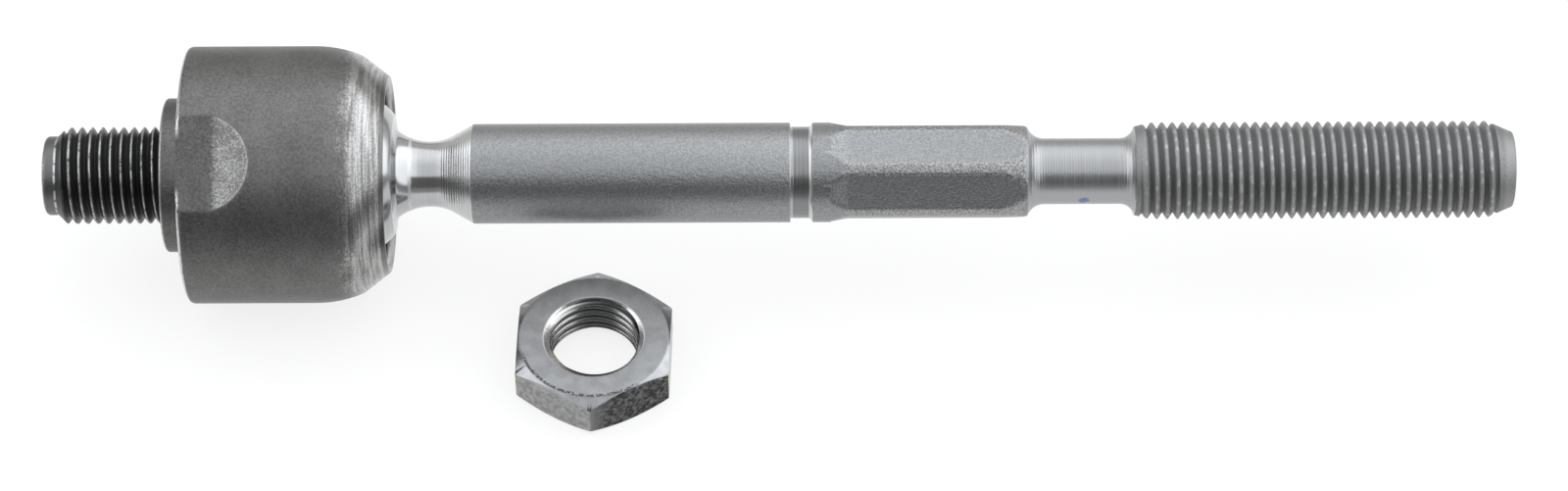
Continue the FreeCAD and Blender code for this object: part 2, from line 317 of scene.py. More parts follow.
def turned_surface(tree, entry):
    """The outline wrapped round the axis and cut by evenly spaced flats."""
    outline = entry["Outline"].socket
    count = number(tree, "GeometryNodeAttributeDomainSize", {"Geometry": outline})
    mesh, across, share = grid(tree, entry["Segments"] + 1.0, count)
    row = (share * (count - 1.0)).do("ROUND")
    angle = across * (2 * math.pi)

    def sample(item, kind, at):
        inputs = {"Geometry": outline, "Value": item, "Index": at}
        return add(tree, "GeometryNodeSampleIndex", inputs, data_type=kind, domain="POINT")

    def carried(label, kind="FLOAT", at=row):
        named = add(tree, "GeometryNodeInputNamedAttribute", {"Name": label}, data_type=kind)
        return Number(tree, sample(named, kind, at))

    position = sample(add(tree, "GeometryNodeInputPosition"), "FLOAT_VECTOR", row)
    along, radius, _ = parts_of(tree, position)
    half_sector = entry["Flats"].do("POWER", -1.0) * math.pi
    off_flat = (angle - entry["Flat turn"]).do("PINGPONG", half_sector)
    limit = carried("flat_distance") / off_flat.do("COSINE").high(0.1)
    cut = radius.low(limit)
    along = along + carried("slide") * (cut - radius)

    # The row is noted before the points move, so that each face knows its stretch of the outline
    noted = tree.nodes.new("GeometryNodeCaptureAttribute")
    noted.domain = "POINT"
    noted.capture_items.new("FLOAT", "row")
    feed(tree, noted.inputs[0], mesh)
    feed(tree, noted.inputs[1], row)
    placed = place_round(tree, noted.outputs[0], along, cut, angle)
    stretch = Number(tree, noted.outputs[1]).do("FLOOR")
    finish = carried("finish", "INT", stretch)
    named = store(tree, placed, "finish", finish, "INT", "FACE")
    gap = finish.do("LESS_THAN", -0.5)
    return add(tree, "GeometryNodeDeleteGeometry", {"Geometry": named, "Selection": gap}, domain="FACE")


def thread_form(tree, share_of_turn):
    """How deep the thread is over one turn: 0 at its crest and 1 at its root."""
    node = tree.nodes.new("ShaderNodeFloatCurve")
    points = node.mapping.curves[0].points
    points[0].location = (0, 0)
    points[1].location = (1, 0)
    for share, depth in THREAD_HALF + [(1 - share, depth) for share, depth in THREAD_HALF]:
        points.new(share, depth)
    points.new(0.5, 1.0)
    for point in points:
        point.handle_type = "VECTOR"
    node.mapping.update()
    feed(tree, node.inputs["Value"], share_of_turn)
    return Number(tree, node.outputs[0])


def thread_surface(tree, entry):
    """A helical tube of thread whose ends lie flush with the outline's rings."""
    start, end, pitch = entry["Thread start"], entry["Thread end"], entry["Pitch"]
    crest, root = entry["Crest radius"], entry["Root radius"]
    rows = (((end - start) / pitch).do("CEIL") + 2.0) * float(TURN_ROWS)
    mesh, across, share = grid(tree, entry["Segments"] + 1.0, rows + 1.0)
    turned = (share * rows).do("ROUND") / float(TURN_ROWS)
    turned = turned - (turned * (4 * math.pi)).do("SINE") * CROWDING
    angle = across * (2 * math.pi)
    along = (start + pitch * (turned + across - 1.0 - entry["Phase"])).high(start).low(end)
    fade = ((along - start) / entry["Start fade"]).low((end - along) / entry["End fade"]).low(1.0)
    thread = crest + (root - crest) * thread_form(tree, turned.do("FRACT")) * fade
    lead = entry["Start radius"] + (along - start) * entry["Start slope"]
    taper = entry["End radius"] + (end - along) * entry["End slope"]
    radius = add(
        tree,
        "GeometryNodeSwitch",
        {
            "Switch": entry["Inside"],
            "False": thread.low(lead).low(taper),
            "True": thread.high(lead).high(taper),
        },
        input_type="FLOAT",
    )
    placed = place_round(tree, mesh, along, Number(tree, radius), angle)
    flipped = add(tree, "GeometryNodeFlipFaces", {"Mesh": placed})
    facing = {"Switch": entry["Inside"], "False": placed, "True": flipped}
    faced = add(tree, "GeometryNodeSwitch", facing, input_type="GEOMETRY")
    return store(tree, faced, "finish", entry["Thread finish"], "INT", "FACE")


def turned_piece_tree():
    """The tree, with named inputs for its sizes."""
    tree = bpy.data.node_groups.new("turned_piece", "GeometryNodeTree")
    sockets = [("Outline", "Geometry")]
    sockets += [(label, "Int") for label in ("Segments", "Flats", "Thread finish")]
    sockets += [(label, "Float") for label in LENGTHS + SHARES]
    sockets += [("Inside", "Bool"), ("Turn", "Vector"), ("Place", "Vector")]
    sockets += [(f"Finish {key}", "Material") for key in range(FINISHES)]
    for label, kind in sockets:
        tree.interface.new_socket(label, in_out="INPUT", socket_type=f"NodeSocket{kind}")
    tree.interface.new_socket("Geometry", in_out="OUTPUT", socket_type="NodeSocketGeometry")
    ports = tree.nodes.new("NodeGroupInput").outputs
    entry = {label: Number(tree, ports[label]) for label, _ in sockets}

    join = tree.nodes.new("GeometryNodeJoinGeometry")
    for surface in (thread_surface(tree, entry), turned_surface(tree, entry)):
        tree.links.new(surface, join.inputs[0])
    joined = {"Geometry": join.outputs[0], "Distance": MERGE_REACH * MM}
    merged = add(tree, "GeometryNodeMergeByDistance", joined)
    placing = {"Geometry": merged, "Rotation": entry["Turn"], "Translation": entry["Place"]}
    placed = add(tree, "GeometryNodeTransform", placing)
    smooth = add(tree, "GeometryNodeSetShadeSmooth", {"Geometry": placed, "Shade Smooth": True})
    bend = number(tree, "GeometryNodeInputMeshEdgeAngle").do("GREATER_THAN", SHARP_ANGLE)
    sharp = store(tree, smooth, "sharp_edge", bend, "BOOLEAN", "EDGE")
    shown = add(tree, "GeometryNodeRealizeInstances", {"Geometry": sharp})
    finish = add(tree, "GeometryNodeInputNamedAttribute", {"Name": "finish"}, data_type="INT")
    for key in range(FINISHES):
        chosen = Number(tree, finish).do("COMPARE", float(key), 0.5)
        inputs = {"Geometry": shown, "Selection": chosen, "Material": entry[f"Finish {key}"]}
        shown = add(tree, "GeometryNodeSetMaterial", inputs)
    output = tree.nodes.new("NodeGroupOutput")
    tree.links.new(shown, output.inputs[0])
    return tree


def make_piece(name, source, values, finishes, body):
    """Run the tree on an outline, keep the result as a plain mesh and hand it to the frame."""
    modifier = source.modifiers.new("turned_piece", "NODES")
    modifier.node_group = TURNED_PIECE
    given = {"Pitch": PITCH, **values}
    given = {label: item * MM if label in LENGTHS else item for label, item in given.items()}
    given.update({f"Finish {key}": finish for key, finish in enumerate(finishes)})
    for port in TURNED_PIECE.interface.items_tree:
        if port.in_out == "INPUT" and port.name in given:
            modifier[port.identifier] = given[port.name]
    depsgraph = bpy.context.evaluated_depsgraph_get()
    mesh = bpy.data.meshes.new_from_object(source.evaluated_get(depsgraph))
    source.modifiers.remove(modifier)
    bpy.data.objects.remove(source)
    mesh.name = f"{name}_skin"
    piece = bpy.data.objects.new(f"{name}_skin", mesh)
    bpy.context.scene.collection.objects.link(piece)
    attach(piece, body)
    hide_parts(name)


# Materials

def new_finish(name, metallic=1.0):
    """A new finish: the material, its tree and its shader."""
    made = bpy.data.materials.new(name)
    made.use_nodes = True
    tree = made.node_tree
    shader = tree.nodes["Principled BSDF"]
    shader.inputs["Metallic"].default_value = metallic
    return made, tree, shader


def place_in_mm(tree):
    """A point's place on the object in mm: the vector and its three parts."""
    spot = add(tree, "ShaderNodeTexCoord", out=3)
    scaled = add(tree, "ShaderNodeVectorMath", {0: spot, "Scale": 1 / MM}, operation="SCALE")
    return scaled, *parts_of(tree, scaled)


def noise(tree, vector, scale, detail=2.0, roughness=0.5):
    """A noise with the given number of bumps per mm, as a number about 0.5."""
    inputs = {"Vector": vector, "Scale": scale, "Detail": detail, "Roughness": roughness}
    return number(tree, "ShaderNodeTexNoise", inputs)


def tint(tree, share, dark, light):
    """A colour between two, by a share; each is a colour or another tint."""
    mix = tree.nodes.new("ShaderNodeMix")
    mix.data_type = "RGBA"
    feed(tree, mix.inputs["Factor"], share)
    for slot, colour in ((6, dark), (7, light)):
        feed(tree, mix.inputs[slot], (*colour, 1) if isinstance(colour, tuple) else colour)
    return mix.outputs[2]


def raise_surface(tree, shader, height, depth_mm):
    """Raise the surface by a height between 0 and 1, to a real depth."""
    inputs = {"Height": height, "Distance": depth_mm * MM}
    feed(tree, shader.inputs["Normal"], add(tree, "ShaderNodeBump", inputs))


def grey(level, blue=0.0):
    """A grey of the given level, a little blue or warm."""
    return (level * (1 - blue), level, level * (1 + blue))


def phosphated_forging():
    """Dark phosphated forging: worn edges with a painted highlight, coarse spanner ramps, a burnished
    rolled lip with painted shade on its land.
    """
    made, tree, shader = new_finish("phosphated_forging")
    spot, along, side, up = place_in_mm(tree)
    radius = side.across(up)
    grain = noise(tree, spot, 2.6, 4.0, 0.65)
    speckle = noise(tree, spot, 4.5, 3.0, 0.6)
    blotch = noise(tree, spot, 0.22, 3.0)
    rolling = noise(tree, vector_of(tree, along * 2.6, side * 0.14, up * 0.14), 1.0, 4.0, 0.55)

    mottled = along + (grain - 0.5) * 5.0 + (blotch - 0.5) * 3.0
    burnish = ramp(tree, mottled, BAND_X - 2.6, BAND_X + 0.2)
    burnish = burnish * radius.do("GREATER_THAN", LIP_R - 1.2)
    # Rear and collar edges: wear, brightened further by a painted highlight
    worn_edge_highlight = ramp(tree, along, REAR_X + 0.55, REAR_X + 0.3)
    worn_edge_highlight = worn_edge_highlight * ramp(tree, radius, SOCKET_R - 1.0, SOCKET_R - 0.6)
    collar = ramp(tree, along, 0.4, 0.2) * ramp(tree, radius, COLLAR_R - 0.6, COLLAR_R - 0.3, 0.0, 0.5)
    worn_edge_highlight = worn_edge_highlight.high(collar) * ramp(tree, grain, 0.34, 0.44)
    worn = burnish.high(worn_edge_highlight)
    cut = radius + (grain - 0.5) * 0.12
    beside = along.do("LESS_THAN", SPANNER_X + SPANNER_RAMP + 0.4)
    below = ramp(tree, cut, SOCKET_R - 0.01, SOCKET_R - 0.1) * beside
    hollow = below * ramp(tree, along + (grain - 0.5) * 1.5, SPANNER_X - 0.5, SPANNER_X + 0.9)
    rim = ramp(tree, radius, SOCKET_R - 0.2, SOCKET_R - 0.05) * hollow

    shade = ramp(tree, grain * 0.75 + blotch * 0.25, 0.38, 0.62)
    dull = tint(tree, shade, grey(0.12, -0.02), grey(0.185, -0.02))
    dull = tint(tree, below, dull, tint(tree, shade, grey(0.1, -0.02), grey(0.165, -0.02)))
    fleck = ramp(tree, speckle * 0.6 + grain * 0.4 + blotch * 0.3, 0.56, 0.82) + rim * 0.4
    coarse = tint(tree, fleck, grey(0.16, -0.02), grey(0.46, -0.01))
    bright = ramp(tree, rolling * 0.6 + speckle * 0.4, 0.38, 0.62)
    bright = tint(tree, bright, grey(0.15, -0.02), grey(0.44, -0.01))
    # Painted shade: the lip's outer land darkened where its front edge falls in shadow
    painted_shade_land = ramp(tree, along + (grain - 0.5) * 0.4, LIP_X - 0.75, LIP_X - 0.5, 0.0, 0.8)
    painted_shade_land = painted_shade_land * ramp(tree, radius, LIP_R - 0.4, LIP_R - 0.1)
    bright = tint(tree, painted_shade_land, bright, grey(0.1, -0.02))
    colour = tint(tree, burnish, tint(tree, hollow, dull, coarse), bright)
    # Painted highlight and wear: the rear and collar edges tinted bright
    colour = tint(tree, worn_edge_highlight, colour, grey(0.6))
    feed(tree, shader.inputs["Base Color"], colour)
    gloss = ramp(tree, worn, 0.0, 1.0, 0.46, 0.22, "LINEAR")
    feed(tree, shader.inputs["Roughness"], gloss + (grain - 0.5) * 0.15)
    rough = grain * ramp(tree, worn, 0.0, 1.0, 0.8, 0.4, "LINEAR") + speckle * hollow * 0.8
    raise_surface(tree, shader, rough + rolling * worn * 0.25, 0.05)
    return made


def dark_thread():
    """Dark oiled stud, worn bright on its crests and on the edges of its dog point, with a painted
    highlight laid over that wear.
    """
    made, tree, shader = new_finish("dark_thread")
    spot, along, side, up = place_in_mm(tree)
    grain = noise(tree, spot, 3.0, 3.0)
    patch = noise(tree, spot, 0.7, 2.0)
    radius = side.across(up) + (grain - 0.5) * 0.25 + (patch - 0.5) * 0.3
    # Crests: wear, brightened further by a painted highlight
    crest = ramp(tree, radius, CREST_R - 0.1, CREST_R, 0.0, 0.65)
    point = ramp(tree, along + (grain - 0.5) * 0.4, STUD_END + 2.0, STUD_END + 1.8)
    # Dog point edges and the step at its end: wear, brightened further by a painted highlight
    worn_edge_highlight = ramp(tree, along + (grain - 0.5) * 0.5, STUD_END + 0.3, STUD_END + 0.15)
    off_step = (along - STUD_END - DOG_LENGTH).do("ABSOLUTE")
    worn_edge_highlight = worn_edge_highlight.high(ramp(tree, off_step, 0.24, 0.1) * ramp(tree, patch, 0.36, 0.5))
    dull = tint(tree, point, grey(0.08), grey(0.15))
    feed(tree, shader.inputs["Base Color"], tint(tree, crest.high(worn_edge_highlight), dull, grey(0.5)))
    feed(tree, shader.inputs["Roughness"], ramp(tree, crest, 0.0, 1.0, 0.4, 0.25, "LINEAR"))
    raise_surface(tree, shader, grain, 0.02)
    return made


def turned_steel(name, level, gloss, ring_pitch, ring_depth, rings_from=0.0):
    """Bright steel with the fine rings that a lathe tool leaves from a given place on."""
    made, tree, shader = new_finish(name)
    spot, along, side, up = place_in_mm(tree)
    wander = noise(tree, spot, 0.3, 2.0)
    rings = ((along + (wander - 0.5) * 0.1) * (2 * math.pi / ring_pitch)).do("SINE") * 0.5 + 0.5
    streaks = noise(tree, vector_of(tree, along * 7.0, side * 0.05, up * 0.05), 1.0, 4.0)
    colour = tint(tree, streaks, grey(level * 0.85, 0.01), grey(level * 1.15, 0.01))
    feed(tree, shader.inputs["Base Color"], colour)
    feed(tree, shader.inputs["Roughness"], ramp(tree, streaks, 0.3, 0.7, gloss - 0.05, gloss + 0.05))
    turning = ramp(tree, along, rings_from, rings_from + 1.5)
    raise_surface(tree, shader, (rings * 0.7 + streaks * 0.6) * turning, ring_depth)
    return made, tree, shader, colour, (along, side, up)


def polished_neck():
    """Polished steel with turning rings on the flare and a rough witness ring round the neck."""
    gloss, rings_x = 0.17, 38.8
    made, tree, shader, colour, spot = turned_steel("polished_neck", 0.46, gloss, 0.36, 0.028, rings_x)
    along, side, up = spot
    flare = ramp(tree, along, rings_x, rings_x + 2.5)
    sway = noise(tree, vector_of(tree, along * 0.3, side, up), 0.35, 3.0)
    off = (along - WITNESS_X + (sway - 0.5) * 0.7).do("ABSOLUTE")
    witness = ramp(tree, off, 0.28, 0.16)
    colour = tint(tree, flare * 0.7, colour, grey(0.62))
    feed(tree, shader.inputs["Base Color"], tint(tree, witness, colour, grey(0.6)))
    dull = witness.high(flare * 0.4)
    feed(tree, shader.inputs["Roughness"], ramp(tree, dull, 0.0, 1.0, gloss, 0.4, "LINEAR"))
    return made


def groove_steel():
    """Turned steel of the groove, with a painted highlight along both of its walls."""
    made, tree, shader, colour, (along, _, _) = turned_steel("groove_steel", 0.24, 0.3, 0.55, 0.05)
    # Painted highlight: both walls of the groove tinted bright
    outer = ramp(tree, (along - GROOVE_X - 2.9).do("ABSOLUTE"), 0.35, 0.15)
    inner = ramp(tree, along, GROOVE_X + 0.4, GROOVE_X + 0.2, 0.0, 0.6)
    feed(tree, shader.inputs["Base Color"], tint(tree, outer.high(inner), colour, grey(0.62)))
    return made


def undercut_steel():
    """Turned steel of the undercut, with a dab of blue marking paint on its underside."""
    made, tree, shader, colour, spot = turned_steel("undercut_steel", 0.38, 0.34, 0.39, 0.032)
    dab_along, dab_angle = 132.3, math.radians(-12.7)
    dab = (dab_along, -UNDERCUT_R * math.cos(dab_angle), UNDERCUT_R * math.sin(dab_angle))
    near = [part - middle for part, middle in zip(spot, dab)]
    away = near[0].across(near[1].across(near[2]))
    blot = noise(tree, vector_of(tree, *spot), 1.2, 3.0)
    paint = ramp(tree, away + (blot - 0.5) * 1.2, 1.0, 0.6, 0.0, 0.75)
    feed(tree, shader.inputs["Base Color"], tint(tree, paint, colour, (0.07, 0.13, 0.36)))
    return made


def blasted_steel():
    """Shot-blasted bar: an even, slightly blue grey, coarser on the hexagon's corners and ramps."""
    made, tree, shader = new_finish("blasted_steel")
    spot, along, side, up = place_in_mm(tree)
    peel = noise(tree, spot, 1.7, 3.0)
    fine = noise(tree, spot, 3.4, 3.0, 0.6)
    radius = side.across(up)
    fall = (along - (HEX_END_X - HEX_TAPER)).high(0.0) * HEX_FALL
    on_corner = ramp(tree, along, HEX_X + 1.4, HEX_X + 2.4) * along.do("LESS_THAN", HEX_END_X - 0.5)
    corner = ramp(tree, radius + fall, HEX_CORNER_R - 0.2, HEX_CORNER_R - 0.07) * on_corner
    on_ramp = along.do("GREATER_THAN", HEX_X + 0.1) * ramp(tree, along, HEX_X + 2.5, HEX_X + 2.3)
    hollow = ramp(tree, radius, HEX_CORNER_R - 0.05, HEX_CORNER_R - 0.15, 0.0, 0.3) * on_ramp
    coarse = corner.high(hollow)
    shade = ramp(tree, peel * 0.15 + fine * 0.85, 0.38, 0.62)
    plain = tint(tree, shade, grey(0.25, 0.01), grey(0.33, 0.02))
    rough = tint(tree, ramp(tree, fine, 0.4, 0.6), grey(0.22, -0.01), grey(0.42))
    feed(tree, shader.inputs["Base Color"], tint(tree, coarse, plain, rough))
    shader.inputs["Roughness"].default_value = 0.38
    raise_surface(tree, shader, peel * 0.4 + fine * 0.5 + coarse * fine * 0.4, 0.1)
    return made


def rolled_thread():
    """Satin rolled thread with painted shade in its valleys, worn in places and at its chamfered end.
    """
    made, tree, shader = new_finish("rolled_thread")
    spot, along, side, up = place_in_mm(tree)
    grain = noise(tree, spot, 3.0, 3.0)
    crest = ramp(tree, side.across(up) + (grain - 0.5) * 0.2, ROOT_R + 0.1, CREST_R)
    worn = ramp(tree, crest, 0.6, 1.0) * ramp(tree, noise(tree, spot, 0.9, 3.0), 0.5, 0.65)
    end = ramp(tree, along, ROD_END - 1.9, ROD_END - 1.3) * ramp(tree, grain, 0.3, 0.6, 0.1, 0.4)
    worn = worn.high(end)
    # Painted shade: the valleys darker than the crests
    colour = tint(tree, crest, grey(0.25), grey(0.3))
    feed(tree, shader.inputs["Base Color"], tint(tree, worn, colour, grey(0.46)))
    feed(tree, shader.inputs["Roughness"], ramp(tree, grain, 0.3, 0.7, 0.5, 0.64))
    raise_surface(tree, shader, grain, 0.04)
    return made


def bright_plating():
    """Bright plating: satin faces, mottled sides, one stained, a darker rear rim, painted highlight and
    shade at the bore and front edge.
    """
    made, tree, shader = new_finish("bright_plating")
    spot, along, side, up = place_in_mm(tree)
    cloud = noise(tree, spot, 0.5, 4.0)
    fine = noise(tree, spot, 3.0, 3.0)
    mottle = noise(tree, spot, 1.3, 5.0, 0.7)
    middle = (NUT_LOW + NUT_HIGH) / 2
    facing = (math.sin(STAINED_SIDE), -math.cos(STAINED_SIDE))
    reach = (along - middle.x) * facing[0] + (side - middle.y) * facing[1]
    stained = ramp(tree, reach, NUT_ACROSS / 2 - 0.3, NUT_ACROSS / 2 - 0.1)
    bore = (along - middle.x).across(side - middle.y)
    clean = tint(tree, ramp(tree, cloud, 0.35, 0.65), grey(0.31, 0.01), grey(0.37, 0.01))
    outer = ramp(tree, up, NUT_HIGH.z - 0.7, NUT_HIGH.z - 1.1)
    outer = outer * ramp(tree, mottle, 0.4, 0.62, 0.1, 0.8)
    clean = tint(tree, outer, clean, grey(0.17, -0.02))
    face_r = NUT_ACROSS / 2 * NUT_FACE_SHARE
    # Painted shade: a dark line along the edge of the face, only on the front side
    line = ramp(tree, (bore - face_r + (fine - 0.5) * 0.5).do("ABSOLUTE"), 0.3, 0.12)
    forward = (along - middle.x) * 0.35 + (side - middle.y) + cloud * 3.0
    front = ramp(tree, forward, -3.5, -6.0, 0.0, 0.8)
    clean = tint(tree, line * front * ramp(tree, fine, 0.4, 0.5), clean, grey(0.05, 0.05))
    # Painted highlight: the countersink ring tinted bright
    clean = tint(tree, ramp(tree, bore, CREST_R + 0.38, CREST_R + 0.3), clean, grey(0.6, -0.01))
    # Painted shade and light in the bore: darker at its front and back, lighter at its sides
    shaded = ramp(tree, (along - middle.x).do("ABSOLUTE"), 2.0, 5.0)
    inner = tint(tree, shaded, grey(0.2), grey(0.5, -0.02))
    clean = tint(tree, ramp(tree, bore, CREST_R + 0.1, BORE_R + 0.15), clean, inner)
    # Painted shade in the thread roots below the top face; the rear of the countersink rim is darker as
    # well
    deep = ramp(tree, up, NUT_HIGH.z - 0.55, NUT_HIGH.z - 0.8)
    roots = ramp(tree, (bore - CREST_R + 0.25).do("ABSOLUTE"), 0.4, 0.2) * deep
    rear_rim = ramp(tree, bore, CREST_R + 0.35, CREST_R + 0.2)
    rear_rim = rear_rim * ramp(tree, bore, CREST_R - 0.2, CREST_R)
    rear_rim = rear_rim * ramp(tree, side - middle.y + (mottle - 0.5) * 3.0, 4.6, 6.0, 0.0, 0.85)
    clean = tint(tree, roots.high(rear_rim), clean, grey(0.03, 0.02))
    stain = tint(tree, ramp(tree, mottle, 0.4, 0.65), grey(0.02, 0.03), grey(0.14))
    feed(tree, shader.inputs["Base Color"], tint(tree, stained, clean, stain))
    face = ramp(tree, up, NUT_HIGH.z - 0.12, NUT_HIGH.z - 0.04)
    gloss = ramp(tree, face, 0.0, 1.0, 0.16, 0.52, "LINEAR")
    feed(tree, shader.inputs["Roughness"], gloss + ramp(tree, fine, 0.3, 0.7, 0.0, 0.1))
    raise_surface(tree, shader, cloud * 0.4 + fine * 0.6, 0.02)
    return made


def bearing_plastic():
    """Dark moulded bearing plastic with a film of grease."""
    made, tree, shader = new_finish("bearing_plastic", 0.0)
    spot, *_ = place_in_mm(tree)
    grain = noise(tree, spot, 1.5, 2.0)
    feed(tree, shader.inputs["Base Color"], tint(tree, grain, grey(0.018), grey(0.035)))
    feed(tree, shader.inputs["Roughness"], ramp(tree, grain, 0.3, 0.7, 0.3, 0.5))
    raise_surface(tree, shader, grain, 0.02)
    return made


# Pieces

def make_socket(forging, stud_steel):
    """Stud, collar and socket in one skin, with the cavity and the stud's thread."""
    forged, stud = 0, 1
    barrel_wall, flare_depth, lip_land = 3.15, 1.05, 0.35
    cavity_r = SOCKET_R - barrel_wall
    throat_x = LIP_X - flare_depth
    band_r = LIP_R + BAND_LENGTH * math.tan(BAND_ANGLE)
    dog_r, dog_round = 5.7, 0.7
    lead_r = ROOT_R - 0.03
    lead_x = STUD_END + DOG_LENGTH + lead_r - dog_r
    collar_round, rear_round, crown_start = 0.5, 1.0, 1.0
    ramp_rows = 0.2

    outline = Profile(STUD_END, 0.0, stud)
    outline.to(STUD_END, dog_r - dog_round)
    outline.blend(STUD_END + dog_round, dog_r, (1, 0), False, steps=4)
    outline.to(STUD_END + DOG_LENGTH, dog_r)
    outline.to(lead_x, lead_r)
    outline.finish = THREAD_STRETCH
    outline.to(0.0, CREST_R)
    outline.finish = forged
    outline.to(0.0, COLLAR_R - collar_round)
    outline.arc(collar_round, COLLAR_R, (collar_round, COLLAR_R - collar_round), 5)
    outline.to(REAR_X, COLLAR_R)
    outline.to(REAR_X, SOCKET_R - rear_round)
    outline.arc(REAR_X + rear_round, SOCKET_R, (REAR_X + rear_round, SOCKET_R - rear_round), 8)
    outline.to(SPANNER_X, SOCKET_R, step=ramp_rows)
    outline.to(SPANNER_X + SPANNER_RAMP, SOCKET_R, step=ramp_rows)
    outline.to(BALL_X - crown_start, SOCKET_R)
    outline.blend(BAND_X, band_r, (1, 0), True, steps=10)
    outline.to(LIP_X, LIP_R)
    outline.to(LIP_X, LIP_R - lip_land)
    outline.to(throat_x, math.sqrt(cavity_r**2 - (throat_x - BALL_X) ** 2))
    outline.arc(BALL_X - cavity_r, 0.0, (BALL_X, 0.0), 24)
    outline.soften(0.15)

    spanner_depth, ramp_r, entry = 1.31, 21.1, math.radians(6.3)
    flat_r = SOCKET_R - spanner_depth

    def spanner_flats(along):
        """Flat from the rear face to a crease, then up a hollow ramp."""
        past = max(along - SPANNER_X, 0)
        lean = math.asin(min(math.sin(entry) + past / ramp_r, 1))
        return flat_r + ramp_r * (math.cos(entry) - math.cos(lean))

    values = {
        "Segments": SOCKET_SEGMENTS,
        "Flats": 2,
        "Flat turn": SPANNER_TURN,
        "Thread start": lead_x,
        "Thread end": 0.0,
        "Start radius": lead_r,
        "Start slope": 1.0,
        "End radius": CREST_R,
        "End slope": 0.0,
        "Crest radius": CREST_R,
        "Root radius": ROOT_R,
        "Start fade": 0.01,
        "End fade": 1.0,
        "Phase": 0.832,
        "Thread finish": stud,
    }
    source = outline.source("socket_outline", spanner_flats)
    make_piece("housing", source, values, (forging, stud_steel), "housing")


def make_rod(turned, blasted, groove, undercut, thread_steel):
    """Ball, neck, shank, groove, hexagon, undercut and thread in one skin."""
    bright, grain, streaked, cut_back, rolled = range(5)
    ball_flat_r, root_r = 3.5, 8.6
    neck_top_x, neck_top_r = 33.45, 6.3
    neck_x, neck_end, flare_end, flare_r = 38.0, 38.3, 41.3, 5.45
    groove_r, groove_length, groove_end = 6.6, 2.4, GROOVE_X + 3.2
    hex_step, hex_runout, last, hex_face_r = 0.15, 2.4, 0.5, 6.4
    split, runout_rows, taper_rows = 0.02, 0.15, 0.3
    undercut_x, undercut_end = HEX_END_X + 2.4, 137.57
    hex_taper_r = HEX_CORNER_R - (HEX_TAPER - last) * HEX_FALL
    lead_r, lead_end = 6.4, 141.97
    taper_x, end_r, end_round = 190.57, 5.55, 0.4
    slope = (CREST_R - end_r) / (ROD_END - end_round - taper_x)
    fade_x = 192.7
    fade_r = CREST_R - (fade_x - taper_x) * slope

    ball_flat_x = BALL_X - math.sqrt(BALL_R**2 - ball_flat_r**2)
    outline = Profile(ball_flat_x, 0.0, bright)
    outline.to(ball_flat_x, ball_flat_r)
    outline.arc(BALL_X + math.sqrt(BALL_R**2 - root_r**2), root_r, (BALL_X, 0.0), 36)
    outline.blend(neck_top_x, neck_top_r, (0, -1), True, steps=5)
    outline.blend(neck_x, NECK_R, (1, 0), False, steps=10)
    outline.to(neck_end, NECK_R)
    outline.blend(flare_end, flare_r, (1, 0), True)
    outline.to(SHANK_X, SHANK_R)
    outline.finish = grain
    outline.to(GROOVE_X, SHANK_R)
    outline.finish = streaked
    outline.to(GROOVE_X, groove_r)
    outline.to(GROOVE_X + groove_length, groove_r)
    outline.blend(groove_end, SHANK_R, (1, 0), True, steps=6)
    outline.finish = grain
    outline.to(HEX_X - split, SHANK_R)
    outline.to(HEX_X, SHANK_R)
    outline.to(HEX_X + hex_runout, HEX_CORNER_R, step=runout_rows)
    outline.to(HEX_END_X - HEX_TAPER, HEX_CORNER_R)
    outline.to(HEX_END_X - last, hex_taper_r, step=taper_rows)
    outline.to(HEX_END_X, hex_face_r)
    outline.finish = cut_back
    outline.blend(undercut_x, UNDERCUT_R, (1, 0), False)
    outline.to(undercut_end, UNDERCUT_R)
    outline.blend(THREAD_X, lead_r, (1, 0), True)
    outline.finish = THREAD_STRETCH
    outline.to(fade_x, fade_r)
    outline.finish = rolled
    outline.to(ROD_END - end_round, end_r)
    outline.arc(ROD_END, end_r - end_round, (ROD_END - end_round, end_r - end_round), 4)
    outline.finish = bright
    outline.to(ROD_END, 0.0)
    outline.soften(0.12)

    def hex_flats(along):
        """The hexagon's flats, which step and ramp down from the ring beside the groove."""
        if along < HEX_X - split / 2 or along > undercut_x:
            return NO_FLAT
        ramped = min((along - HEX_X) / hex_runout, 1)
        step_r = SHANK_R - hex_step
        return step_r - (step_r - HEX_ACROSS / 2) * ramped

    values = {
        "Segments": ROD_SEGMENTS,
        "Flats": 6,
        "Flat turn": HEX_TURN,
        "Thread start": THREAD_X,
        "Thread end": fade_x,
        "Start radius": lead_r,
        "Start slope": (CREST_R - lead_r) / (lead_end - THREAD_X),
        "End radius": fade_r,
        "End slope": slope,
        "Crest radius": CREST_R,
        "Root radius": ROOT_R,
        "Start fade": 1.2,
        "End fade": 1.0,
        "Phase": 0.158,
        "Thread finish": rolled,
    }
    source = outline.source("rod_outline", hex_flats)
    finishes = (turned, blasted, groove, undercut, thread_steel)
    make_piece("tie_rod", source, values, finishes, "rod")


